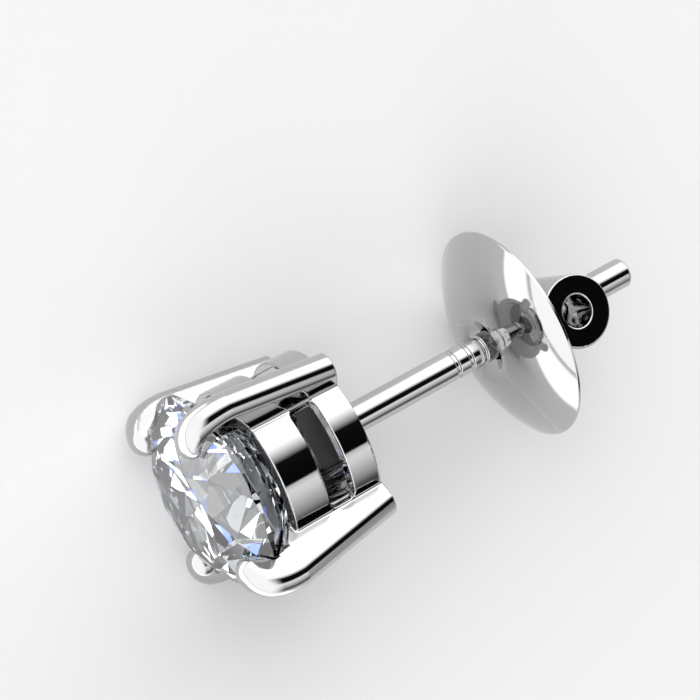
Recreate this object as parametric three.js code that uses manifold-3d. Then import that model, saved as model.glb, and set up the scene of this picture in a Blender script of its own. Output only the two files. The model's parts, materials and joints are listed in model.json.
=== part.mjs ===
// Four-prong stud earring with a domed disc ear nut, lying on its side.
// Millimetres, +Z up. Each solid is modelled along +X (stone -> post tip) with the setting's
// zero at x = 0, then the whole stud is laid down on the stone's girdle and the disc's rim.
import * as THREE from 'three';
import * as BufferGeometryUtils from 'three/addons/utils/BufferGeometryUtils.js';
import Module from 'manifold-3d';
const wasm = await Module();
wasm.setup();

// Stone
const STONE_D = 6.0;              // girdle diameter, the size that everything is scaled from
const TABLE_SHARE = 0.57;         // table corner to corner / diameter
const CROWN_DEG = 34.5;
const PAVILION_DEG = 40.8;
const GIRDLE_H = 0.18;
const STAR_SHARE = 0.5;           // how far the stars reach from table to girdle
const LOWER_SHARE = 0.62;         // how far the lower halves reach from girdle to culet
const CULET_R = 0.05;
const GIRDLE_SIDES = 64;
const STONE_X = -0.45;            // girdle's middle along the axis
const STONE_GAP = 0.03;           // space between stone and metal

// Setting
const PRONGS = 4;
const WIRE_R = 0.435;             // prong wire radius
const ELBOW_X = 0.0;              // where the prong starts to bend
const TIP_X = -1.03;              // centre of the rounded tip
const TIP_RHO = 2.74;
const ELBOW_R = 0.46;             // the prong swells a little where it bends over the stone
const TIP_R = 0.48;
const ELBOW_ROUND = 0.16;         // how much the bend cuts the corner
const PRONG_BACK_RHO = 2.81;      // prong centre to axis at the back plane
const PRONG_GIRDLE_RHO = 3.41;    // prong centre to axis at the girdle
const BASKET_BACK_X = 3.32;
const BACK_RING_W = 0.88;
const FRONT_RING_X = 0.50;
const FRONT_RING_W = 1.14;
const RING_R_FRONT = 2.62;
const RING_R_BACK = 2.57;
const RING_WALL = 0.45;
const RING_EDGE = 0.05;           // small chamfer on the rings' edges
const WINDOW_CORNER_R = 0.2;
const WINDOW_SIDE = 0.06;         // web left beside each prong in a window
const WEB_E = 0.5;                // how far the prong reaches inwards beside the stone
const WIRE_SIDES = 20;
const BEND_STEPS = 9;
const WEB_START = 0.1;            // where the web leaves the front ring and where it is at WEB_E
const WEB_END = 0.3;
const BEND_PULL = 0.10;           // corner of the bend, behind the tip
const PLATE_T = 0.40;             // plate that closes the basket and carries the post

// Post
const POST_D = 0.90;
const POST_TIP_X = 13.97;
const TIP_BEVEL = 0.09;
const GROOVE_X = [7.58, 8.06, 8.54];
const GROOVE_HALF = 0.075;
const GROOVE_DEPTH = 0.06;
const GROOVE_FLAT = 0.045;        // half width of the groove's flat bottom

// Ear nut
const BORE_GAP = 0.05;            // radial clearance of the post in the nut
const DISC_R = 3.25;
const RIM_X = 9.62;               // plane of the disc's rim
const DOME_H = 1.0;
const DOME_POWER = 2.5;           // 2 is a plain parabola; more is flatter in the middle
const DISC_T = 0.26;              // sheet thickness, thinning to the rim
const RIM_T = 0.08;
const THIN_BAND = 1.0;            // width over which the sheet thins towards the rim
const DIMPLE_R = 1.15;
const DIMPLE_DEPTH = 0.3;
const NECK_R = 0.86;
const BARREL_X = 11.03;
const BARREL_R = 1.08;
const BARREL_L = 3.7;
const BARREL_BORE_R = 0.465;
const BARREL_EDGE = 0.06;

// Material colours
const METAL = { color: 0xd9dade, metalness: 1, roughness: 0.12 };
const GEM = { color: 0xf4f8ff, metalness: 0, roughness: 0.02, transparent: true, opacity: 0.6 };

const V2 = (x, y) => new THREE.Vector2(x, y);
const deg = (a) => a * Math.PI / 180;

// Solids and booleans
function clean(g) {
  g.deleteAttribute('normal');
  g.deleteAttribute('uv');
  return BufferGeometryUtils.mergeVertices(g, 1e-5);
}
function toSolid(g) {
  const m = clean(g);
  return new wasm.Manifold(new wasm.Mesh({
    numProp: 3,
    vertProperties: Float32Array.from(m.attributes.position.array),
    triVerts: Uint32Array.from(m.index.array),
  }));
}
function toGeometry(s) {
  const m = s.getMesh();
  const g = new THREE.BufferGeometry();
  const n = m.numProp;
  const p = new Float32Array(m.vertProperties.length / n * 3);
  for (let i = 0; i < p.length / 3; i++) {
    for (let k = 0; k < 3; k++) p[3 * i + k] = m.vertProperties[n * i + k];
  }
  g.setAttribute('position', new THREE.BufferAttribute(p, 3));
  g.setIndex(new THREE.BufferAttribute(Uint32Array.from(m.triVerts), 1));
  return g;
}
// A turned solid about X, a flat side down: the profile is given as (x, radius).
function turned(profile, sides) {
  const g = new THREE.LatheGeometry(profile.map(([x, r]) => V2(r, -x)).reverse(), sides);
  g.rotateZ(Math.PI / 2);
  g.rotateX(Math.PI / sides);
  return g;
}
function box(x0, x1, y0, y1, z0, z1) {
  const g = new THREE.BoxGeometry(x1 - x0, y1 - y0, z1 - z0);
  g.translate((x0 + x1) / 2, (y0 + y1) / 2, (z0 + z1) / 2);
  return g;
}
// Rings of points joined into a closed skin, with a flat fan at each end.
function skin(rings) {
  const n = rings[0].length;
  const pos = [];
  const idx = [];
  for (const r of rings) for (const p of r) pos.push(p.x, p.y, p.z);
  for (let i = 0; i < rings.length - 1; i++) {
    for (let k = 0; k < n; k++) {
      const a = i * n + k;
      const b = i * n + (k + 1) % n;
      idx.push(a, b + n, b, a, a + n, b + n);
    }
  }
  const cap = (row, flip) => {
    const c = rings[row].reduce((s, p) => s.add(p), new THREE.Vector3()).divideScalar(n);
    const at = pos.length / 3;
    pos.push(c.x, c.y, c.z);
    for (let k = 0; k < n; k++) {
      const a = row * n + k;
      const b = row * n + (k + 1) % n;
      if (flip) idx.push(at, b, a); else idx.push(at, a, b);
    }
  };
  cap(0, false);
  cap(rings.length - 1, true);
  const g = new THREE.BufferGeometry();
  g.setAttribute('position', new THREE.BufferAttribute(Float32Array.from(pos), 3));
  g.setIndex(idx);
  return g;
}

// Stone: a block cut down by one plane for each facet
function cutBlock(planes, size) {
  const s = size;
  const c = [[-s, -s, -s], [s, -s, -s], [s, s, -s], [-s, s, -s],
    [-s, -s, s], [s, -s, s], [s, s, s], [-s, s, s]].map((v) => new THREE.Vector3(...v));
  let faces = [[0, 3, 2, 1], [4, 5, 6, 7], [0, 1, 5, 4], [1, 2, 6, 5], [2, 3, 7, 6], [3, 0, 4, 7]]
    .map((f) => f.map((i) => c[i].clone()));
  for (const [nx, ny, nz, d] of planes) {
    const n = new THREE.Vector3(nx, ny, nz);
    const cut = [];
    const kept = [];
    for (const f of faces) {
      const out = [];
      for (let i = 0; i < f.length; i++) {
        const a = f[i];
        const b = f[(i + 1) % f.length];
        const da = a.dot(n) - d;
        const db = b.dot(n) - d;
        if (da <= 1e-9) out.push(a);
        if ((da < -1e-9 && db > 1e-9) || (da > 1e-9 && db < -1e-9)) {
          const p = a.clone().lerp(b, da / (da - db));
          out.push(p);
          cut.push(p);
        } else if (Math.abs(da) <= 1e-9) cut.push(a);
      }
      if (out.length >= 3) kept.push(out);
    }
    faces = kept;
    if (cut.length < 3) continue;
    const along = Math.abs(nx) > 0.8;
    const u = new THREE.Vector3(along ? 0 : 1, along ? 1 : 0, 0).cross(n).normalize();
    const v = n.clone().cross(u);
    const mid = cut.reduce((q, p) => q.add(p), new THREE.Vector3()).divideScalar(cut.length);
    const ang = (p) => Math.atan2(p.clone().sub(mid).dot(v), p.clone().sub(mid).dot(u));
    const ring = [];
    for (const p of cut.sort((a, b) => ang(a) - ang(b))) {
      if (!ring.length || ring[ring.length - 1].distanceTo(p) > 1e-6) ring.push(p);
    }
    if (ring.length > 1 && ring[0].distanceTo(ring[ring.length - 1]) < 1e-6) ring.pop();
    if (ring.length >= 3) faces.push(ring);
  }
  const pos = [];
  for (const f of faces) {
    for (let i = 1; i < f.length - 1; i++) {
      for (const p of [f[0], f[i], f[i + 1]]) pos.push(p.x, p.y, p.z);
    }
  }
  const g = new THREE.BufferGeometry();
  g.setAttribute('position', new THREE.BufferAttribute(Float32Array.from(pos), 3));
  return g;
}
// Facet planes of a round brilliant, its table facing -X. grow moves every facet outwards.
function brilliantPlanes(grow) {
  const R = STONE_D / 2;
  const rt = R * TABLE_SHARE;
  const tc = Math.tan(deg(CROWN_DEG));
  const tp = Math.tan(deg(PAVILION_DEG));
  const hc = (R - rt) * tc;
  const half = GIRDLE_H / 2;
  const planes = [];
  // a facet through the points (h, r, angle), with h counted from the girdle's middle, crown +
  const facet = (pts) => {
    const [a, b, c] = pts.map(([h, r, t]) => new THREE.Vector3(-h, r * Math.cos(t), r * Math.sin(t)));
    const n = b.clone().sub(a).cross(c.clone().sub(a)).normalize();
    if (n.dot(a) < 0) n.negate();
    planes.push([n.x, n.y, n.z, n.dot(a) + grow]);
  };
  planes.push([-1, 0, 0, half + hc + grow]);
  const rs = rt * Math.cos(deg(22.5)) + STAR_SHARE * (R - rt * Math.cos(deg(22.5)));
  const hs = (R - rs * Math.cos(deg(22.5))) / (R - rt) * hc;
  const rl = R * (1 - LOWER_SHARE);
  const depth = R * tp;
  const hl = (R - rl * Math.cos(deg(22.5))) * tp;
  for (let k = 0; k < 8; k++) {
    const t = deg(45 * k);
    const t2 = deg(45 * k + 22.5);
    // bezel and pavilion main: a cone's tangent plane at angle t
    planes.push([-Math.cos(deg(CROWN_DEG)), Math.sin(deg(CROWN_DEG)) * Math.cos(t),
      Math.sin(deg(CROWN_DEG)) * Math.sin(t),
      Math.cos(deg(CROWN_DEG)) * half + Math.sin(deg(CROWN_DEG)) * R + grow]);
    planes.push([Math.cos(deg(PAVILION_DEG)), Math.sin(deg(PAVILION_DEG)) * Math.cos(t),
      Math.sin(deg(PAVILION_DEG)) * Math.sin(t),
      Math.cos(deg(PAVILION_DEG)) * half + Math.sin(deg(PAVILION_DEG)) * R + grow]);
    facet([[half + hc, rt, t], [half + hc, rt, deg(45 * k + 45)], [half + hs, rs, t2]]);
    for (const s of [-1, 1]) {
      const g = t2 + s * deg(22.5);
      facet([[half + hs, rs, t2], [half, R, g], [half, R, t2]]);
      facet([[-half - hl, rl, t2], [-half, R, g], [-half, R, t2]]);
    }
  }
  planes.push([1, 0, 0, half + depth - CULET_R * tp + grow]);
  for (let k = 0; k < GIRDLE_SIDES; k++) {
    const t = 2 * Math.PI * k / GIRDLE_SIDES;
    planes.push([0, Math.cos(t), Math.sin(t), R * Math.cos(Math.PI / GIRDLE_SIDES) + grow]);
  }
  return planes;
}
const stoneGeometry = cutBlock(brilliantPlanes(0), STONE_D);
stoneGeometry.translate(STONE_X, 0, 0);
const stoneSpaceGeometry = cutBlock(brilliantPlanes(STONE_GAP), STONE_D);
stoneSpaceGeometry.translate(STONE_X, 0, 0);
const stoneSpace = toSolid(stoneSpaceGeometry);

// Setting
const prongSlope = (PRONG_GIRDLE_RHO - PRONG_BACK_RHO) / BASKET_BACK_X;
const rhoAt = (x) => PRONG_GIRDLE_RHO - prongSlope * x;
const webRho = RING_R_BACK - RING_WALL / 2;      // the prong's inner side reaches into the rings
const bend = [[ELBOW_X, rhoAt(ELBOW_X)], [TIP_X + BEND_PULL, rhoAt(TIP_X) - ELBOW_ROUND], [TIP_X, TIP_RHO]];
function prong(angle) {
  const pts = [];
  const start = FRONT_RING_X - WEB_START;
  for (const x of [BASKET_BACK_X + WIRE_R, start, FRONT_RING_X - WEB_END, ELBOW_X]) {
    const e = x >= start ? rhoAt(x) - webRho : WEB_E;
    pts.push({ x, rho: rhoAt(x), r: WIRE_R, e });
  }
  for (let i = 1; i <= BEND_STEPS; i++) {
    const t = i / BEND_STEPS;
    const [a, b, c] = bend;
    const q = (k) => (1 - t) ** 2 * a[k] + 2 * t * (1 - t) * b[k] + t * t * c[k];
    const r = t < 0.5 ? WIRE_R + (ELBOW_R - WIRE_R) * t * 2 : ELBOW_R + (TIP_R - ELBOW_R) * (2 * t - 1);
    pts.push({ x: q(0), rho: q(1), r, e: WEB_E * (1 - t) ** 0.6 });
  }
  // rounded tip: the last circle shrinks over a quarter turn
  const rings = [];
  const N = WIRE_SIDES;
  const place = (p, tx, tr, r, e, shift) => {
    // normal in the radial plane, pointing outwards, and the tangential direction
    const nx = tr;
    const nr = -tx;
    const ring = [];
    for (let k = 0; k < N; k++) {
      const a = 2 * Math.PI * k / N;
      const u = Math.cos(a) * r - (Math.cos(a) < -1e-9 ? e : Math.abs(Math.cos(a)) <= 1e-9 ? e / 2 : 0);
      const v = Math.sin(a) * r;
      const x = p.x + nx * u + tx * shift;
      const rho = p.rho + nr * u + tr * shift;
      ring.push(new THREE.Vector3(x,
        rho * Math.cos(angle) - v * Math.sin(angle), rho * Math.sin(angle) + v * Math.cos(angle)));
    }
    return ring;
  };
  for (let i = 0; i < pts.length; i++) {
    const a = pts[Math.max(0, i - 1)];
    const b = pts[Math.min(pts.length - 1, i + 1)];
    const l = Math.hypot(b.x - a.x, b.rho - a.rho);
    rings.push(place(pts[i], (b.x - a.x) / l, (b.rho - a.rho) / l, pts[i].r, pts[i].e, 0));
  }
  const p = pts[pts.length - 1];
  const a = pts[pts.length - 2];
  const l = Math.hypot(p.x - a.x, p.rho - a.rho);
  for (let i = 1; i <= 4; i++) {
    const t = deg(90 * i / 4.5);
    rings.push(place(p, (p.x - a.x) / l, (p.rho - a.rho) / l, p.r * Math.cos(t), 0, p.r * Math.sin(t)));
  }
  return skin(rings);
}
const frontBackX = FRONT_RING_X + FRONT_RING_W;
const backFrontX = BASKET_BACK_X - BACK_RING_W;
function window4(angle) {
  // rounded slot between two prongs, cut straight outwards
  const reach = RING_R_FRONT * Math.sin(deg(45) - Math.asin((WIRE_R + WINDOW_SIDE) / RING_R_BACK));
  const c = WINDOW_CORNER_R;
  const s = new THREE.Shape();
  const x0 = frontBackX;
  const x1 = backFrontX;
  s.moveTo(x0 + c, -reach);
  s.lineTo(x1 - c, -reach);
  s.absarc(x1 - c, -reach + c, c, -Math.PI / 2, 0, false);
  s.lineTo(x1, reach - c);
  s.absarc(x1 - c, reach - c, c, 0, Math.PI / 2, false);
  s.lineTo(x0 + c, reach);
  s.absarc(x0 + c, reach - c, c, Math.PI / 2, Math.PI, false);
  s.lineTo(x0, -reach + c);
  s.absarc(x0 + c, -reach + c, c, Math.PI, Math.PI * 1.5, false);
  const from = RING_R_BACK - 3 * RING_WALL;
  const depth = RING_R_FRONT + RING_WALL - from;
  const g = new THREE.ExtrudeGeometry(s, { depth, bevelEnabled: false, curveSegments: 5 });
  g.translate(0, 0, from);
  g.rotateX(angle);
  return g;
}
const ringTaper = (RING_R_FRONT - RING_R_BACK) / (BASKET_BACK_X - FRONT_RING_X);
const ringWallAt = (x) => RING_R_BACK + ringTaper * (BASKET_BACK_X - x);
const e = RING_EDGE;
let setting = toSolid(turned([
  [FRONT_RING_X, ringWallAt(FRONT_RING_X) - RING_WALL],
  [FRONT_RING_X, ringWallAt(FRONT_RING_X) - e],
  [FRONT_RING_X + e, ringWallAt(FRONT_RING_X + e)],
  [BASKET_BACK_X - e, ringWallAt(BASKET_BACK_X - e)],
  [BASKET_BACK_X, ringWallAt(BASKET_BACK_X) - e],
  [BASKET_BACK_X, ringWallAt(BASKET_BACK_X) - RING_WALL],
  [FRONT_RING_X, ringWallAt(FRONT_RING_X) - RING_WALL],
], 72));
for (let k = 0; k < 4; k++) setting = setting.subtract(toSolid(window4(k * Math.PI / 2)));
for (let k = 0; k < PRONGS; k++) setting = setting.add(toSolid(prong(deg(45) + k * Math.PI / 2)));
const [plateX, plateR] = [BASKET_BACK_X - PLATE_T, RING_R_BACK - RING_WALL / 2];
const plate = [[plateX, 0], [plateX, plateR], [BASKET_BACK_X, plateR], [BASKET_BACK_X, 0]];
setting = setting.add(toSolid(turned(plate, 72)));
// post, turned, with its shallow grooves and bevelled tip
const postR = POST_D / 2;
const postLine = [[BASKET_BACK_X - PLATE_T / 2, 0], [BASKET_BACK_X - PLATE_T / 2, postR]];
for (const x of GROOVE_X) {
  postLine.push([x - GROOVE_HALF, postR], [x - GROOVE_FLAT, postR - GROOVE_DEPTH],
    [x + GROOVE_FLAT, postR - GROOVE_DEPTH], [x + GROOVE_HALF, postR]);
}
postLine.push([POST_TIP_X - TIP_BEVEL, postR], [POST_TIP_X, postR - TIP_BEVEL], [POST_TIP_X, 0]);
setting = setting.add(toSolid(turned(postLine, 32)));
// the prongs end flush with the basket's back
const wide = PRONG_GIRDLE_RHO + POST_D;
for (const [y0, y1] of [[-wide, -POST_D], [POST_D, wide]]) {
  const g = box(BASKET_BACK_X, BASKET_BACK_X + 2 * POST_D, y0, y1, -wide, wide);
  setting = setting.subtract(toSolid(g));
}
setting = setting.subtract(stoneSpace);

// Ear nut
const boreR = postR + BORE_GAP;
const domeX = (r) => RIM_X - DOME_H * (1 - (r / DISC_R) ** DOME_POWER);
const front = [];
const back = [];
const SPAN = 9;
// dimple around the post, then the dome out to the rim
const lipX = domeX(DIMPLE_R);
front.push([lipX + DIMPLE_DEPTH, boreR]);
for (let i = 1; i <= 4; i++) {
  const t = i / 5;
  const r = boreR + (DIMPLE_R - boreR) * t;
  front.push([lipX + DIMPLE_DEPTH * (1 - Math.sin(t * Math.PI / 2)) ** 1.2, r]);
}
for (let i = 0; i <= SPAN; i++) {
  const r = DIMPLE_R + (DISC_R - DIMPLE_R) * i / SPAN;
  front.push([domeX(r), r]);
}
for (let i = 0; i <= SPAN; i++) {
  const r = DISC_R - (DISC_R - NECK_R) * i / SPAN;
  const thick = RIM_T + (DISC_T - RIM_T) * Math.min(1, (DISC_R - r) / THIN_BAND);
  back.push([domeX(r) + thick, r]);
}
const neckEnd = BARREL_X;
const profile = [...front, ...back, [neckEnd, NECK_R], [neckEnd, boreR], front[0]];
let nut = toSolid(turned(profile, 72));
// the barrel lies across the post, behind the disc
const be = BARREL_EDGE;
const bl = BARREL_L / 2;
const barrel = turned([
  [-bl, BARREL_BORE_R + be], [-bl, BARREL_R - be], [-bl + be, BARREL_R], [bl - be, BARREL_R],
  [bl, BARREL_R - be], [bl, BARREL_BORE_R + be], [bl - be, BARREL_BORE_R], [-bl + be, BARREL_BORE_R],
  [-bl, BARREL_BORE_R + be]], 48);
barrel.rotateY(-Math.PI / 2);
barrel.translate(BARREL_X, 0, 0);
const barrelBore = turned([[-bl - 1, 0], [-bl - 1, BARREL_BORE_R], [bl + 1, BARREL_BORE_R], [bl + 1, 0]], 48);
barrelBore.rotateY(-Math.PI / 2);
barrelBore.translate(BARREL_X, 0, 0);
nut = nut.add(toSolid(barrel)).subtract(toSolid(barrelBore));
const [boreX0, boreX1] = [RIM_X - DISC_R, POST_TIP_X + DISC_R];
nut = nut.subtract(toSolid(turned([[boreX0, 0], [boreX0, boreR], [boreX1, boreR], [boreX1, 0]], 32)));

// Laying the stud down: the stone's girdle and the disc's rim touch z = 0
const parts = [['stone', stoneGeometry, GEM], ['setting', toGeometry(setting), METAL],
  ['ear_nut', toGeometry(nut), METAL]];
// lowest z and the x span of a solid once it is tilted nose down by t radians
function extent(g, t) {
  const p = g.attributes.position;
  let [z, x0, x1] = [Infinity, Infinity, -Infinity];
  for (let i = 0; i < p.count; i++) {
    z = Math.min(z, p.getX(i) * Math.sin(t) + p.getZ(i) * Math.cos(t));
    const x = p.getX(i) * Math.cos(t) - p.getZ(i) * Math.sin(t);
    x0 = Math.min(x0, x);
    x1 = Math.max(x1, x);
  }
  return { z, x0, x1 };
}
let [tiltLow, tiltHigh] = [deg(-20), deg(20)];
for (let i = 0; i < 50; i++) {
  const mid = (tiltLow + tiltHigh) / 2;
  const head = Math.min(extent(parts[0][1], mid).z, extent(parts[1][1], mid).z);
  if (head < extent(parts[2][1], mid).z) tiltHigh = mid; else tiltLow = mid;
}
const tilt = (tiltLow + tiltHigh) / 2;
const spans = parts.map(([, g]) => extent(g, tilt));
const lift = -Math.min(...spans.map((v) => v.z));
const shift = -(Math.min(...spans.map((v) => v.x0)) + Math.max(...spans.map((v) => v.x1))) / 2;

const group = new THREE.Group();
group.name = 'stud_earring';
for (const [name, g, m] of parts) {
  g.rotateY(-tilt);
  g.translate(shift, 0, lift);
  const flat = clean(g);
  flat.computeVertexNormals();
  const mesh = new THREE.Mesh(flat, new THREE.MeshStandardMaterial(m));
  mesh.name = name;
  group.add(mesh);
}
export default group;
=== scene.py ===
"""Stud earring: a round brilliant in four bent prongs over gallery rings, a post and a domed ear nut.
The metal is built as smooth skins over distance fields, in millimetres and in the stud's own line,
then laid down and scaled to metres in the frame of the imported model."""
import json
import math

import bpy
import numpy as np
from mathutils import Euler, Matrix


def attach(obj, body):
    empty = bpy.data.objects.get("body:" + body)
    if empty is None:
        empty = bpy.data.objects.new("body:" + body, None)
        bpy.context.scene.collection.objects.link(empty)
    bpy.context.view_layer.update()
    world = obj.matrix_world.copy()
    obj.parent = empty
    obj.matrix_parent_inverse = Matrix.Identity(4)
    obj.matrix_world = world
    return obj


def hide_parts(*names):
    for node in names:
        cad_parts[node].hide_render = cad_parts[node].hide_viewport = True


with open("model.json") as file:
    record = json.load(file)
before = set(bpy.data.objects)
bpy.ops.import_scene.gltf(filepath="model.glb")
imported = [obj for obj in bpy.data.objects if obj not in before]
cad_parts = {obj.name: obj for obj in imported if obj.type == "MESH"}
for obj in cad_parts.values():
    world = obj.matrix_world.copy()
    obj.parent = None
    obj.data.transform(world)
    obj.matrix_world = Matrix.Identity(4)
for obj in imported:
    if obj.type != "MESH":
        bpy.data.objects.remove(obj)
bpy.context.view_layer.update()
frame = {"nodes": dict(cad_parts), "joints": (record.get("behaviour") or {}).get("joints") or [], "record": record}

# Sizes in millimetres, in the stud's own line: +X from the stone to the post's tip.
# The stone: its girdle's middle lies at STONE_X, and STONE_GAP is free between it and the metal.
STONE_D = 6.0
STONE_X = -0.45
STONE_GAP = 0.03
TABLE_SHARE = 0.57
CROWN_DEG = 34.5
PAVILION_DEG = 40.8
GIRDLE_H = 0.18
STAR_SHARE = 0.5
LOWER_SHARE = 0.62
CULET_R = 0.05
GIRDLE_SIDES = 64
STONE_END_X = 2.6
# Prongs: RHO is the distance from the stud's line.
WIRE_R = 0.435
ELBOW_X = 0.0
ELBOW_R = 0.46
ELBOW_PULL_X = 0.10
ELBOW_ROUND = 0.16
TIP_X = -1.03
TIP_RHO = 2.74
TIP_R = 0.48
PRONG_BACK_RHO = 2.81
PRONG_GIRDLE_RHO = 3.41
PRONG_PAST_BACK = 0.6
WEB_E = 0.5
WEB_FADE = 0.6
BEND_STEPS = 28
# Basket: two gallery rings, the windows between them and the back plate.
BACK_X = 3.32
BACK_RING_W = 0.88
FRONT_RING_X = 0.50
FRONT_RING_W = 1.14
RING_R_FRONT = 2.62
RING_R_BACK = 2.57
RING_WALL = 0.45
RING_EDGE = 0.055
WINDOW_CORNER_R = 0.2
WINDOW_SIDE = 0.06
WINDOW_FROM_RHO = 1.2
PLATE_T = 0.40
PLATE_EDGE = 0.02
# Post: up to SPLIT_X it belongs to the basket's skin, and past that it is turned.
POST_R = 0.45
POST_TIP_X = 13.97
POST_OVERLAP = 0.05
SPLIT_X = 5.6
FOOT_RUN_ON = 0.5
FOOT_NARROWER = 0.2
FOOT_TAPER = 0.5
GROOVES = (7.58, 8.06, 8.54)
GROOVE_HALF = 0.075
GROOVE_FLAT = 0.045
GROOVE_DEPTH = 0.06
TIP_BEVEL = 0.09
# Ear nut: domed disc with a dimple, neck and hollow cross barrel.
BORE_R = 0.50
DISC_R = 3.25
RIM_X = 9.62
DOME_H = 1.0
DOME_POWER = 2.5
DISC_T = 0.26
RIM_T = 0.08
DIMPLE_R = 1.15
DIMPLE_DEPTH = 0.30
DIMPLE_POWER = 1.2
NECK_R = 0.86
NECK_GAP = 0.1
NECK_EDGE = 0.02
BARREL_X = 11.03
BARREL_R = 1.08
BARREL_L = 3.7
BARREL_BORE_R = 0.465
BARREL_EDGE = 0.06
# Fillets where the solders run, and the rounding of cut edges
SOLDER_RING = 0.07
SOLDER_PLATE = 0.06
SOLDER_POST = 0.14
SOLDER_BARREL = 0.10
EDGE_WINDOW = 0.05
EDGE_BACK = 0.05
EDGE_SEAT = 0.015
EDGE_BARREL_BORE = 0.02
EDGE_POST_BORE = 0.03
# Fineness of the skins, and how far to either side a field's slope is read
SETTING_CELL = 0.052
BARREL_CELL = 0.036
DISC_SIDES = 288
DIMPLE_STEPS = 28
DOME_STEPS = 60
POST_SIDES = 128
MOVE_REACH = 0.004
NORMAL_REACH = 0.008
# Looks
METAL_COLOUR = (0.49, 0.49, 0.495)
WORN_PALER = 1.25
# how dark the painted shade inside the basket's hollow is, as a share of the metal's colour
HOLLOW_PAINTED_SHADE = 0.42
HOLLOW_DEPTH = 0.5
HOLLOW_EDGE = 0.1
STONE_COLOUR = (0.985, 0.992, 1.0, 1)
STONE_IOR = 2.417
STUDIO_STRENGTH = 2.0
# Camera: where it is in the stud's own line, and its turns in degrees in the row frame
EYE = (-18.18654, 11.62444, 56.46848)
CAMERA_TURNS = (2.0281, -25.1985, -26.6599)
FOCAL_PX = 2200.0
PHOTO_PX = 700.0
SENSOR_MM = 36.0

# How the stud lies: the sliding joint runs along the post, and the mount post_tip is the post's end.
post_axis = frame["joints"][0]["axis"]
post_tip = next(m["pos_m"] for m in frame["record"]["mounts"] if m["name"] == "post_tip")
TILT = math.atan2(post_axis[2], post_axis[0])
CT = math.cos(TILT)
ST = math.sin(TILT)
LAY = np.array([[CT, 0, -ST], [0, 1, 0], [ST, 0, CT]])
PLACE = np.array(post_tip) * 1000 - LAY @ np.array([POST_TIP_X, 0, 0])


def turned(v):
    """Directions in the stud's own line to the row frame."""
    return np.asarray(v, float) @ LAY.T


def laid(p):
    """Points in the stud's own line, in millimetres, to the row frame in metres."""
    return (turned(p) + PLACE) / 1000.0


# Distance fields: smin joins two with a fillet of size k, and smax cuts one by the other.
def smin(a, b, k):
    h = np.clip(0.5 + 0.5 * (b - a) / k, 0, 1)
    return b * (1 - h) + a * h - k * h * (1 - h)


def smax(a, b, k):
    return -smin(-a, -b, k)


def rounded_box(u, v, half_u, half_v, r):
    """Distance to a rectangle about 0 with corners of radius r."""
    qu = np.abs(u) - half_u + r
    qv = np.abs(v) - half_v + r
    outside = np.hypot(np.maximum(qu, 0), np.maximum(qv, 0))
    return outside + np.minimum(np.maximum(qu, qv), 0) - r


SLOPE = (PRONG_GIRDLE_RHO - PRONG_BACK_RHO) / BACK_X
WEB_RHO = RING_R_BACK - RING_WALL / 2


def prong_rho(x):
    return PRONG_GIRDLE_RHO - SLOPE * x


def prong_lines():
    """Centre line and inner edge of a prong's web as (x, rho), and its radius along x."""
    bend = [(ELBOW_X, prong_rho(ELBOW_X)), (TIP_X + ELBOW_PULL_X, prong_rho(TIP_X) - ELBOW_ROUND),
            (TIP_X, TIP_RHO)]
    start = BACK_X + PRONG_PAST_BACK
    ring = FRONT_RING_X - 0.1
    line = [(start, prong_rho(start)), (ring, prong_rho(ring))]
    inner = [(start, WEB_RHO), (ring, WEB_RHO)]
    for x in (FRONT_RING_X - 0.3, ELBOW_X):
        line.append((x, prong_rho(x)))
        inner.append((x - WEB_E * SLOPE, prong_rho(x) - WEB_E))
    rad = [(start, WIRE_R), (ELBOW_X, WIRE_R)]
    for i in range(1, BEND_STEPS + 1):
        t = i / BEND_STEPS
        p = [(1 - t) ** 2 * a + 2 * t * (1 - t) * b + t * t * c for a, b, c in zip(*bend)]
        d = [2 * (1 - t) * (b - a) + 2 * t * (c - b) for a, b, c in zip(*bend)]
        length = math.hypot(*d)
        e = WEB_E * (1 - t) ** WEB_FADE
        line.append(tuple(p))
        inner.append((p[0] - d[1] / length * e, p[1] + d[0] / length * e))
        rad.append((p[0], np.interp(t, (0, 0.5, 1), (WIRE_R, ELBOW_R, TIP_R))))
    return np.array(line), np.array(inner), np.array(sorted(rad))


LINE, INNER, RAD = prong_lines()
OUTLINE = np.vstack([LINE, INNER[::-1]])


def flat_distance(x, y, outline):
    """Distance to a filled outline, 0 inside it."""
    best = np.full(x.shape, np.inf)
    inside = np.zeros(x.shape, bool)
    for (ax, ay), (bx, by) in zip(outline, np.roll(outline, -1, 0)):
        dx, dy = bx - ax, by - ay
        length2 = dx * dx + dy * dy
        if length2 == 0:
            continue
        t = np.clip(((x - ax) * dx + (y - ay) * dy) / length2, 0, 1)
        best = np.minimum(best, (x - ax - t * dx) ** 2 + (y - ay - t * dy) ** 2)
        if dy != 0:
            inside ^= ((ay > y) != (by > y)) & (x < ax + (y - ay) * dx / dy)
    return np.where(inside, 0, np.sqrt(best))


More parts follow.
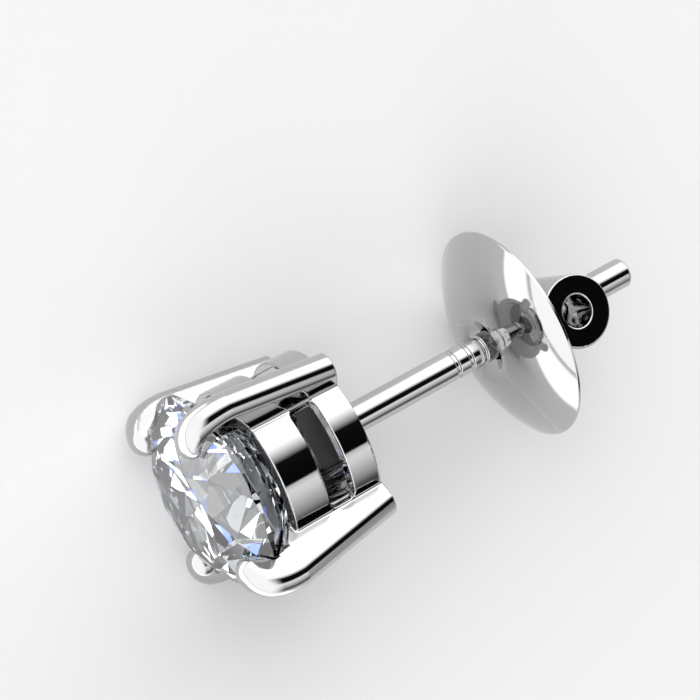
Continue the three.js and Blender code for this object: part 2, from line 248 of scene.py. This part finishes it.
def brilliant_planes(grow):
    """The stone's facet planes (n, d), its table facing -X, moved out by grow."""
    girdle_r, half = STONE_D / 2, GIRDLE_H / 2
    table_r = girdle_r * TABLE_SHARE
    crown, pavilion = math.radians(CROWN_DEG), math.radians(PAVILION_DEG)
    crown_h = (girdle_r - table_r) * math.tan(crown)
    step = math.radians(22.5)
    star_r = table_r * math.cos(step) + STAR_SHARE * (girdle_r - table_r * math.cos(step))
    star_h = (girdle_r - star_r * math.cos(step)) / (girdle_r - table_r) * crown_h
    lower_r = girdle_r * (1 - LOWER_SHARE)
    lower_h = (girdle_r - lower_r * math.cos(step)) * math.tan(pavilion)
    planes = [((-1, 0, 0), half + crown_h + grow)]

    def facet(corners):
        """The plane through three corners, each (height to the table, radius, angle)."""
        a, b, c = [np.array([-h, r * math.cos(t), r * math.sin(t)]) for h, r, t in corners]
        n = np.cross(b - a, c - a)
        n *= np.sign(n @ a) / np.linalg.norm(n)
        planes.append((n, n @ a + grow))

    def main_facet(side, slope_angle, t):
        """A bezel (side -1) or a pavilion main (side 1) that leaves the girdle at angle t."""
        up, out = math.cos(slope_angle), math.sin(slope_angle)
        n = (side * up, out * math.cos(t), out * math.sin(t))
        planes.append((n, up * half + out * girdle_r + grow))

    for k in range(8):
        t = 2 * step * k
        between = t + step
        main_facet(-1, crown, t)
        main_facet(1, pavilion, t)
        facet([(half + crown_h, table_r, t), (half + crown_h, table_r, t + 2 * step),
               (half + star_h, star_r, between)])
        for side in (-1, 1):
            corner = between + side * step
            facet([(half + star_h, star_r, between), (half, girdle_r, corner),
                   (half, girdle_r, between)])
            facet([(-half - lower_h, lower_r, between), (-half, girdle_r, corner),
                   (-half, girdle_r, between)])
    planes.append(((1, 0, 0), half + (girdle_r - CULET_R) * math.tan(pavilion) + grow))
    for k in range(GIRDLE_SIDES):
        t = 2 * math.pi * k / GIRDLE_SIDES
        flat = girdle_r * math.cos(math.pi / GIRDLE_SIDES)
        planes.append(((0, math.cos(t), math.sin(t)), flat + grow))
    return planes


PLANES = brilliant_planes(STONE_GAP)


def stone_space(p):
    """Distance to the stone with its gap."""
    q = p - np.array([STONE_X, 0, 0])
    far = np.full(len(p), -np.inf)
    for n, d in PLANES:
        far = np.maximum(far, q @ np.array(n) - d)
    return far


def ring_field(x, ay, az, rr):
    """The two gallery rings: one tapered wall with four windows. ay and az are |y| and |z|."""
    length = BACK_X - FRONT_RING_X
    wall_r = RING_R_BACK + (RING_R_FRONT - RING_R_BACK) * (BACK_X - x) / length
    ring = rounded_box(x - (FRONT_RING_X + BACK_X) / 2, rr - wall_r + RING_WALL / 2,
                       length / 2, RING_WALL / 2, RING_EDGE)
    x0, x1 = FRONT_RING_X + FRONT_RING_W, BACK_X - BACK_RING_W
    prong_side = math.asin((WIRE_R + WINDOW_SIDE) / RING_R_BACK)
    reach = RING_R_FRONT * math.sin(math.radians(45) - prong_side)
    for across, out in ((ay, az), (az, ay)):
        window = rounded_box(x - (x0 + x1) / 2, across, (x1 - x0) / 2, reach, WINDOW_CORNER_R)
        ring = smax(ring, -np.maximum(window, WINDOW_FROM_RHO - out), EDGE_WINDOW)
    return ring


def setting_field(p):
    """Prongs, rings, back plate and the post's foot, with the stone's space cut out."""
    x, y, z = p.T
    ay, az, rr = np.abs(y), np.abs(z), np.hypot(y, z)
    rho, sideways = (ay + az) / math.sqrt(2), (az - ay) / math.sqrt(2)
    radius = np.interp(x, RAD[:, 0], RAD[:, 1])
    prong = np.hypot(flat_distance(x, rho, OUTLINE), sideways) - radius
    plate = rounded_box(x - BACK_X + PLATE_T / 2, rr, PLATE_T / 2, WEB_RHO, PLATE_EDGE)
    basket = smin(smin(prong, ring_field(x, ay, az, rr), SOLDER_RING), plate, SOLDER_PLATE)
    basket = smax(basket, x - BACK_X, EDGE_BACK)
    # past SPLIT_X the post's foot narrows and runs on inside the turned post
    x0, x1 = BACK_X - PLATE_T / 2, SPLIT_X + FOOT_RUN_ON
    narrower = np.clip((x - SPLIT_X) * FOOT_TAPER, 0, FOOT_NARROWER)
    foot = np.maximum(rr - POST_R + narrower, np.abs(x - (x0 + x1) / 2) - (x1 - x0) / 2)
    d = smin(basket, foot, SOLDER_POST)
    near = x < STONE_END_X
    if near.any():
        d[near] = smax(d[near], -stone_space(p[near]), EDGE_SEAT)
    return d


def dome_x(r):
    """Where the disc's front lies at radius r."""
    return RIM_X - DOME_H * (1 - (r / DISC_R) ** DOME_POWER)


LIP_X = dome_x(DIMPLE_R)


def barrel_field(p):
    """The ear nut's neck and cross barrel, bored for the post."""
    x, y, z = p.T
    rr, rb = np.hypot(y, z), np.hypot(x - BARREL_X, y)
    x0 = LIP_X + DIMPLE_DEPTH + NECK_GAP
    neck = rounded_box(x - (x0 + BARREL_X) / 2, rr, (BARREL_X - x0) / 2, NECK_R, NECK_EDGE)
    tube = rounded_box(z, rb - (BARREL_R + BARREL_BORE_R) / 2,
                       BARREL_L / 2, (BARREL_R - BARREL_BORE_R) / 2, BARREL_EDGE)
    d = smin(neck, tube, SOLDER_BARREL)
    d = smax(d, BARREL_BORE_R - rb, EDGE_BARREL_BORE)
    return smax(d, BORE_R - rr, EDGE_POST_BORE)


CORNERS = np.array([[i, j, k] for i in (0, 1) for j in (0, 1) for k in (0, 1)])


def slope(field, p, e):
    """The field's slope at the points, over a distance of e to either side, and its value."""
    n = len(p)
    pts = np.concatenate([p] + [p + s * e * np.eye(3)[a] for a in range(3) for s in (1, -1)])
    d = field(pts).reshape(7, n)
    return np.stack([(d[1 + 2 * a] - d[2 + 2 * a]) / (2 * e) for a in range(3)], 1), d[0]


def shortened(v, limit):
    """The vectors, none longer than limit."""
    length = np.linalg.norm(v, axis=1)[:, None]
    return v * np.minimum(1, limit / np.maximum(length, 1e-12))


def cells_near(field, lo, hi, h, levels):
    """Numbers of the cells of size h whose middle is near the surface, found coarse to fine."""
    size = h * 2 ** levels
    n = np.ceil((np.array(hi) - lo) / size).astype(int)
    cells = np.stack(np.meshgrid(*[np.arange(a) for a in n], indexing="ij"), -1).reshape(-1, 3)
    for level in range(levels + 1):
        d = field(lo + (cells + 0.5) * size)
        cells = cells[np.abs(d) < size * 0.95 + 0.02]
        if level < levels:
            cells = (cells[:, None, :] * 2 + CORNERS).reshape(-1, 3)
            size /= 2
    return cells


def crossing_means(cells, s, lo, h):
    """In each cell, the mean of the places where the surface crosses the cell's edges."""
    pos = np.zeros((len(cells), 3))
    count = np.zeros(len(cells))
    for a in range(8):
        for b in range(a + 1, 8):
            if np.abs(CORNERS[a] - CORNERS[b]).sum() != 1:
                continue
            cross = (s[:, a] < 0) != (s[:, b] < 0)
            t = np.where(cross, s[:, a] / np.where(cross, s[:, a] - s[:, b], 1), 0)[:, None]
            pos += np.where(cross[:, None], CORNERS[a] + t * (CORNERS[b] - CORNERS[a]), 0)
            count += cross
    return lo + (cells + pos / count[:, None]) * h


def skin(field, lo, hi, h, levels):
    """A closed skin of quads over field = 0: one point lies in each cell that the surface
    crosses, and it is then moved onto the surface itself."""
    lo = np.array(lo, float)
    cells = cells_near(field, lo, hi, h, levels)
    big = int(cells.max()) + 4

    def key(c):
        return (c[..., 0].astype(np.int64) * big + c[..., 1]) * big + c[..., 2]

    corner = cells[:, None, :] + CORNERS
    keys, back = np.unique(key(corner), return_inverse=True)
    grid = np.stack([keys // big // big, keys // big % big, keys % big], 1)
    value = field(lo + grid * h)
    s = value[back.reshape(corner.shape[:2])]
    active = (s.min(1) < 0) & (s.max(1) >= 0)
    cells = cells[active]
    start = crossing_means(cells, s[active], lo, h)
    pos = start.copy()
    for _ in range(3):
        g, d = slope(field, pos, MOVE_REACH)
        move = -d[:, None] * g / np.maximum((g * g).sum(1), 0.25)[:, None]
        pos += shortened(move, 0.5 * h)
    pos = start + shortened(pos - start, 0.9 * h)
    g, _ = slope(field, pos, NORMAL_REACH)
    normal = g / np.maximum(np.linalg.norm(g, axis=1)[:, None], 1e-9)
    # one quad for each grid edge that the surface crosses
    ids = key(cells)
    order = np.argsort(ids)
    sorted_ids = ids[order]

    def cell_at(c):
        k = key(c)
        i = np.clip(np.searchsorted(sorted_ids, k), 0, len(sorted_ids) - 1)
        return np.where(sorted_ids[i] == k, order[i], -1)

    quads = []
    unit = np.eye(3, dtype=int)
    for axis in range(3):
        other = key(grid + unit[axis])
        i = np.clip(np.searchsorted(keys, other), 0, len(keys) - 1)
        known = keys[i] == other
        ends_inside = value < 0, value[i] < 0
        b1, b2 = unit[(axis + 1) % 3], unit[(axis + 2) % 3]
        for outward in (True, False):
            first, last = ends_inside if outward else ends_inside[::-1]
            c = grid[known & first & ~last]
            q = np.stack([cell_at(c), cell_at(c - b1), cell_at(c - b1 - b2), cell_at(c - b2)], 1)
            q = q[(q >= 0).all(1)]
            quads.append(q if outward else q[:, ::-1])
    return pos, [np.vstack(quads)], normal


def rounded_profile(points, radii, steps=8):
    """Corner points joined by arcs; a radius of 0 keeps the point as it is."""
    out = []
    points = np.array(points, float)
    for a, b, c, r in zip(np.roll(points, 1, 0), points, np.roll(points, -1, 0), radii):
        u, w = a - b, c - b
        lu, lw = np.linalg.norm(u), np.linalg.norm(w)
        if r <= 0 or min(lu, lw) < 1e-9:
            out.append(b)
            continue
        cut = min(r, 0.49 * lu, 0.49 * lw)
        for k in range(steps + 1):
            t = k / steps
            out.append((1 - t) ** 2 * (b + u / lu * cut) + 2 * t * (1 - t) * b + t * t * (b + w / lw * cut))
    return np.array(out)


def disc_profile():
    """The disc's cut, as points (x, radius) with a rounding: out along the dimple and the dome,
    over the rim, and back along its far side into the neck."""
    bottom = LIP_X + DIMPLE_DEPTH
    points = [(bottom, BORE_R, 0.04)]
    for i in range(1, DIMPLE_STEPS):
        t = i / DIMPLE_STEPS
        depth = DIMPLE_DEPTH * (1 - math.sin(t * math.pi / 2)) ** DIMPLE_POWER
        points.append((LIP_X + depth, BORE_R + (DIMPLE_R - BORE_R) * t, 0))
    points.append((LIP_X, DIMPLE_R, 0.03))
    for i in range(1, DOME_STEPS):
        r = DIMPLE_R + (DISC_R - DIMPLE_R) * i / DOME_STEPS
        points.append((dome_x(r), r, 0))
    points += [(RIM_X, DISC_R, 0.03), (RIM_X + RIM_T, DISC_R, 0.03)]
    for i in range(1, DOME_STEPS + 1):
        r = DISC_R - (DISC_R - NECK_R + 0.1) * i / DOME_STEPS
        points.append((dome_x(r) + RIM_T + (DISC_T - RIM_T) * min(1, DISC_R - r), r, 0))
    points += [(bottom + 0.6, NECK_R - 0.12, 0), (bottom + 0.6, BORE_R, 0)]
    return rounded_profile([(x, r) for x, r, _ in points], [k for _, _, k in points])


def post_profile():
    """The turned post's outline: its start inside the basket's skin, the grooves and the bevelled tip."""
    start = SPLIT_X - POST_OVERLAP
    # the first points lie close together, so that the normals stay upright along the shaft
    points = [(start, 0.2), (start, POST_R), (start + 0.002, POST_R), (start + 0.01, POST_R)]
    radii = [0] * len(points)
    for g in GROOVES:
        for dx, depth in ((-GROOVE_HALF, 0), (-GROOVE_FLAT, GROOVE_DEPTH),
                          (GROOVE_FLAT, GROOVE_DEPTH), (GROOVE_HALF, 0)):
            points.append((g + dx, POST_R - depth))
            radii.append(0.02)
    points += [(POST_TIP_X - TIP_BEVEL, POST_R), (POST_TIP_X, POST_R - TIP_BEVEL), (POST_TIP_X, 0.05)]
    radii += [0.05, 0.04, 0]
    return rounded_profile(points, radii, 6)


def lathe(profile, sides, closed=True):
    """A turned skin. A closed profile joins its last point to its first; an open one is closed
    by a flat fan at either end."""
    n = len(profile)
    a = 2 * np.pi * (np.arange(sides) + 0.5) / sides
    x = np.repeat(profile[:, 0][:, None], sides, 1)
    r = profile[:, 1][:, None]
    pos = np.stack([x, r * np.cos(a), r * np.sin(a)], -1).reshape(-1, 3)
    i = np.arange(n if closed else n - 1)[:, None]
    k = np.arange(sides)[None, :]
    j, l = (i + 1) % n, (k + 1) % sides
    quads = np.stack([i * sides + k, i * sides + l, j * sides + l, j * sides + k], -1).reshape(-1, 4)
    along = np.roll(profile, -1, 0) - np.roll(profile, 1, 0)
    if not closed:
        along[0], along[-1] = (0, 1), (0, -1)
    along /= np.maximum(np.linalg.norm(along, axis=1)[:, None], 1e-9)
    nx, nr = np.repeat(-along[:, 1][:, None], sides, 1), along[:, 0][:, None]
    normal = np.stack([nx, nr * np.cos(a), nr * np.sin(a)], -1).reshape(-1, 3)
    faces = [quads]
    if not closed:
        k, l = k[0], l[0]
        first, last = len(pos), (n - 1) * sides
        pos = np.vstack([pos, [[profile[0][0], 0, 0], [profile[-1][0], 0, 0]]])
        normal = np.vstack([normal, [[-1, 0, 0], [1, 0, 0]]])
        faces.append(np.vstack([np.stack([np.full(sides, first), l, k], 1),
                                np.stack([np.full(sides, first + 1), last + k, last + l], 1)]))
    # which way round the skin goes is read from its own volume
    p = pos[quads]
    volume = sum((p[:, 0] * np.cross(p[:, c], p[:, c + 1])).sum() for c in (1, 2))
    return pos, [f[:, ::-1] for f in faces] if volume < 0 else faces, normal


def piece(name, shape, body, cad_node, material):
    """A mesh of the scene that stands for a CAD node. shape is points, faces as one array of
    point numbers for each number of corners, and a normal for each point."""
    pos, faces, normal = shape
    mesh = bpy.data.meshes.new(name)
    mesh.vertices.add(len(pos))
    mesh.vertices.foreach_set("co", laid(pos).astype(np.float32).ravel())
    corners = np.concatenate([f.ravel() for f in faces]).astype(np.int32)
    sizes = np.concatenate([np.full(len(f), f.shape[1]) for f in faces])
    mesh.loops.add(len(corners))
    mesh.loops.foreach_set("vertex_index", corners)
    mesh.polygons.add(len(sizes))
    mesh.polygons.foreach_set("loop_start", (np.cumsum(sizes) - sizes).astype(np.int32))
    mesh.update(calc_edges=True)
    mesh.validate()
    mesh.polygons.foreach_set("use_smooth", np.ones(len(mesh.polygons), bool))
    mesh.normals_split_custom_set_from_vertices(turned(normal).astype(np.float32))
    obj = bpy.data.objects.new(name, mesh)
    bpy.context.scene.collection.objects.link(obj)
    obj.data.materials.append(material)
    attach(obj, body)
    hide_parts(cad_node)


# Node helpers: an input is given by name or number, as a value or as the output that feeds it.
def plug(tree, socket, value):
    if isinstance(value, bpy.types.NodeSocket):
        tree.links.new(value, socket)
    else:
        socket.default_value = value


def add(tree, kind, inputs, **settings):
    n = tree.nodes.new("ShaderNode" + kind)
    for key, value in settings.items():
        setattr(n, key, value)
    for key, value in inputs.items():
        plug(tree, n.inputs[key], value)
    return n


def calc(tree, operation, *values):
    return add(tree, "Math", dict(enumerate(values)), operation=operation).outputs["Value"]


def span(tree, value, start, stop, to=(0, 1), smooth=False):
    """value from start to stop, brought to the range given by to and kept within it."""
    n = add(tree, "MapRange", {"Value": value}, interpolation_type="SMOOTHSTEP" if smooth else "LINEAR")
    n.inputs["From Min"].default_value = start
    n.inputs["From Max"].default_value = stop
    n.inputs["To Min"].default_value, n.inputs["To Max"].default_value = to
    return n.outputs["Result"]


def mixed(tree, share, a, b):
    n = add(tree, "Mix", {0: share}, data_type="RGBA", clamp_result=False)
    for socket, value in ((n.inputs[6], a), (n.inputs[7], b)):
        plug(tree, socket, (*value, 1) if isinstance(value, tuple) else value)
    return n.outputs[2]


def ramp(tree, stops, value, steps=False):
    """A colour ramp through (place, grey or colour) stops, in steps or sloping."""
    n = add(tree, "ValToRGB", {"Fac": value})
    n.color_ramp.interpolation = "CONSTANT" if steps else "LINEAR"
    elements = n.color_ramp.elements
    while len(elements) > 1:
        elements.remove(elements[-1])
    for i, (place, shade) in enumerate(stops):
        e = elements[0] if i == 0 else elements.new(place)
        e.position = place
        e.color = (*shade, 1) if isinstance(shade, tuple) else (shade, shade, shade, 1)
    return n.outputs["Color"]


def in_hollow(t, point):
    """1 inside the basket's hollow next to its back plate, 0 elsewhere: where the metal gets painted shade and a
    little more roughness.
    """
    end = laid([BACK_X - PLATE_T / 2, 0, 0])
    edge, depth, radius = HOLLOW_EDGE / 1000, HOLLOW_DEPTH / 1000, WEB_RHO / 1000
    inward = add(t, "VectorMath", {0: point, 1: tuple(end)}, operation="SUBTRACT")
    apart = add(t, "SeparateXYZ", {0: inward.outputs["Vector"]}).outputs
    across = add(t, "CombineXYZ", {"Y": apart["Y"], "Z": apart["Z"]})
    reach = add(t, "VectorMath", {0: across.outputs["Vector"]}, operation="LENGTH").outputs["Value"]
    sides = span(t, reach, radius + edge, radius)
    back = span(t, apart["X"], edge, 0.0)
    front = span(t, apart["X"], -depth - edge, -depth)
    return calc(t, "MULTIPLY", calc(t, "MULTIPLY", sides, back), front)


def metal(name, seed, hollow=False):
    """Polished white metal: faint roughness clouds, fine polishing lines, and edges that are
    rubbed a little rougher and paler. With hollow, the basket's inside is a little rougher, and its colour is
    darker there as painted shade."""
    m = bpy.data.materials.new(name)
    m.use_nodes = True
    t = m.node_tree
    shader = t.nodes["Principled BSDF"]
    shader.inputs["Metallic"].default_value = 1.0
    shader.inputs["Base Color"].default_value = (*METAL_COLOUR, 1)
    point = add(t, "TexCoord", {}).outputs["Object"]
    place = add(t, "Mapping", {"Vector": point, "Location": (seed, seed * 0.37, -seed)}).outputs["Vector"]
    clouds = add(t, "TexNoise", {"Vector": place, "Scale": 900.0, "Detail": 3.0}).outputs["Fac"]
    stretched = add(t, "Mapping", {"Vector": place, "Rotation": (0.4, 0.7, 0.3), "Scale": (1.0, 14.0, 9.0)})
    lines = add(t, "TexNoise", {"Vector": stretched.outputs["Vector"], "Scale": 2600.0, "Detail": 4.0})
    lines = lines.outputs["Fac"]
    cloudy = span(t, clouds, 0.3, 0.7, to=(0.025, 0.055))
    rough = calc(t, "MULTIPLY_ADD", span(t, lines, 0.62, 0.75), 0.05, cloudy)
    sharp = add(t, "NewGeometry", {}).outputs["Pointiness"]
    worn = calc(t, "MULTIPLY", span(t, sharp, 0.55, 0.72), clouds)
    rough = calc(t, "MULTIPLY_ADD", worn, 0.18, rough)
    shade = mixed(t, worn, METAL_COLOUR, tuple(c * WORN_PALER for c in METAL_COLOUR))
    if hollow:
        inside = in_hollow(t, point)
        rough = calc(t, "MULTIPLY_ADD", inside, 0.06, rough)
        # painted shade: the metal's colour is darker inside the basket's hollow, where shade falls
        shade = mixed(t, inside, shade, tuple(c * HOLLOW_PAINTED_SHADE for c in METAL_COLOUR))
    bump = add(t, "Bump", {"Height": lines, "Strength": 0.06, "Distance": 0.000004})
    for key, value in (("Base Color", shade), ("Roughness", rough), ("Normal", bump.outputs["Normal"])):
        plug(t, shader.inputs[key], value)
    return m


def gem(name):
    """Colourless cut stone: clear, sharp and strongly refracting."""
    m = bpy.data.materials.new(name)
    m.use_nodes = True
    t = m.node_tree
    t.nodes.remove(t.nodes["Principled BSDF"])
    glass = add(t, "BsdfGlass", {"Color": STONE_COLOUR, "IOR": STONE_IOR, "Roughness": 0.0},
                distribution="BECKMANN")
    t.links.new(glass.outputs[0], t.nodes["Material Output"].inputs["Surface"])
    return m


def cut_stone():
    """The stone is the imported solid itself, with each facet flat."""
    mesh = frame["nodes"]["stone"].data
    mesh.materials.clear()
    mesh.materials.append(gem("cut_stone"))
    mesh.polygons.foreach_set("use_smooth", np.zeros(len(mesh.polygons), bool))
    if "custom_normal" in mesh.attributes:
        mesh.attributes.remove(mesh.attributes["custom_normal"])
    mesh.update()


def floor():
    """A plain pale floor. A little way off on the stone's side, outside the picture, it glows
    as painted light from its own material, which gives the disc its white reflected area."""
    # the way to each zone of painted glow, and where it starts, in metres
    zones = (((-0.497, -0.868, 0), 0.0115), ((-0.896, 0.445, 0), 0.0114))
    soft, strength, half = 0.0022, 1.3, 0.6
    mesh = bpy.data.meshes.new("floor")
    corners = [(-half, -half, 0), (half, -half, 0), (half, half, 0), (-half, half, 0)]
    mesh.from_pydata(corners, [], [(0, 1, 2, 3)])
    obj = bpy.data.objects.new("floor", mesh)
    bpy.context.scene.collection.objects.link(obj)
    m = bpy.data.materials.new("floor_pale")
    m.use_nodes = True
    t = m.node_tree
    point = add(t, "TexCoord", {}).outputs["Object"]
    painted_glow = []
    for way, start in zones:
        off = add(t, "VectorMath", {0: point, 1: way}, operation="DOT_PRODUCT").outputs["Value"]
        painted_glow.append(span(t, off, start, start + soft, smooth=True))
    painted_glow = calc(t, "MAXIMUM", *painted_glow)
    x = add(t, "SeparateXYZ", {0: point}).outputs["X"]
    painted_glow = calc(t, "MULTIPLY", painted_glow, span(t, x, 0.0, -0.006, smooth=True))
    away = add(t, "VectorMath", {0: point}, operation="LENGTH").outputs["Value"]
    painted_glow = calc(t, "MULTIPLY", painted_glow, span(t, away, 0.16, 0.05, smooth=True))
    # painted light: the floor glows by emission in these zones, though it is no lamp
    looks = {"Base Color": (0.73, 0.73, 0.73, 1), "Roughness": 0.9, "Specular IOR Level": 0.1,
             "Emission Color": (1, 1, 1, 1), "Emission Strength": calc(t, "MULTIPLY", painted_glow, strength)}
    for key, value in looks.items():
        plug(t, t.nodes["Principled BSDF"].inputs[key], value)
    mesh.materials.append(m)


def half_turn(degrees_and_shades):
    """Stops given in degrees, as shares of a half turn."""
    return [(degrees / 180, shade) for degrees, shade in degrees_and_shades]


def studio():
    """One soft surround. The angle round the stud's own line decides how bright it is, with a dark
    strip overhead, and it is plain white on the stone's side."""
    world = bpy.data.worlds.new("studio")
    bpy.context.scene.world = world
    world.use_nodes = True
    t = world.node_tree
    way = add(t, "TexCoord", {}).outputs["Generated"]
    x, y, z = add(t, "SeparateXYZ", {0: way}).outputs
    angle = calc(t, "ARCTAN2", calc(t, "ABSOLUTE", z), y)
    share = span(t, angle, 0.0, math.pi)
    around = ramp(t, half_turn([
        (0, 0.5), (7, 0.95), (12, 1.08), (63, 1.08), (73, 0.5), (82, 0.004), (111, 0.002), (113, 0.5),
        (119, 0.66), (127, 0.6), (138, 0.42), (149, 0.25), (158, 0.07), (164, 0.05), (170, 0.2), (176, 0.42)
    ]), share)
    # ahead of the post's tip, past the dark strip, it is dimmer
    dimmer = ramp(t, [(0.62, 0.10), (0.72, 0.16), (0.84, 0.30), (0.97, 0.42)], share)
    past_strip = span(t, share, 110 / 180, 112 / 180)
    ahead = span(t, x, 0.42, 0.62, smooth=True)
    around = mixed(t, calc(t, "MULTIPLY", ahead, past_strip), around, dimmer)
    room = mixed(t, span(t, x, -0.5, -0.1, smooth=True), (0.95, 0.95, 0.95), around)
    # what the stone's own rays meet: a room of white, grey, dark and cold blue panels, for its life
    cells = add(t, "TexVoronoi", {"Vector": way, "Scale": 2.6})
    pick = add(t, "SeparateColor", {0: cells.outputs["Color"]}).outputs["Red"]
    panels = ramp(t, [(0.0, 0.003), (0.18, (0.02, 0.03, 0.09)), (0.30, (0.06, 0.065, 0.05)), (0.37, 0.35),
                      (0.45, 0.8), (0.55, 1.7), (0.84, (0.2, 0.32, 0.95)), (0.91, (0.4, 1.0, 0.9)),
                      (0.935, 1.9)], pick, steps=True)
    through = add(t, "LightPath", {}).outputs["Is Transmission Ray"]
    background = t.nodes["Background"]
    plug(t, background.inputs["Color"], mixed(t, through, room, panels))
    plug(t, background.inputs["Strength"], STUDIO_STRENGTH)


def camera():
    """The photograph's viewing angle."""
    data = bpy.data.cameras.new("camera")
    data.sensor_width = SENSOR_MM
    data.lens = SENSOR_MM * FOCAL_PX / PHOTO_PX
    data.clip_start = 0.001
    data.clip_end = 10.0
    obj = bpy.data.objects.new("camera", data)
    bpy.context.scene.collection.objects.link(obj)
    turns = Euler([math.radians(a) for a in CAMERA_TURNS])
    obj.matrix_world = Matrix.Translation(laid(EYE)) @ turns.to_matrix().to_4x4()
    bpy.context.scene.camera = obj


# The basket with prongs and the post's foot, the barrel with its neck, the disc, and the turned post
# the setting's metal gets painted shade inside the basket's hollow
silver = metal("setting_white_gold", 0.0, hollow=True)
silver_nut = metal("nut_white_gold", 0.05)
basket = skin(setting_field, (-1.9, -3.6, -3.6), (6.4, 3.6, 3.6), SETTING_CELL, 4)
piece("setting_polished", basket, "stud", "setting", silver)
barrel = skin(barrel_field, (8.4, -1.5, -2.2), (12.5, 1.5, 2.2), BARREL_CELL, 3)
piece("ear_nut_barrel", barrel, "nut", "ear_nut", silver_nut)
piece("ear_nut_disc", lathe(disc_profile(), DISC_SIDES), "nut", "ear_nut", silver_nut)
piece("post_turned", lathe(post_profile(), POST_SIDES, closed=False), "stud", "setting", silver)
cut_stone()
floor()
studio()
camera()

view = bpy.context.scene.view_settings
view.view_transform = "Standard"
view.look = "None"
view.exposure = 0.0
view.gamma = 1.0
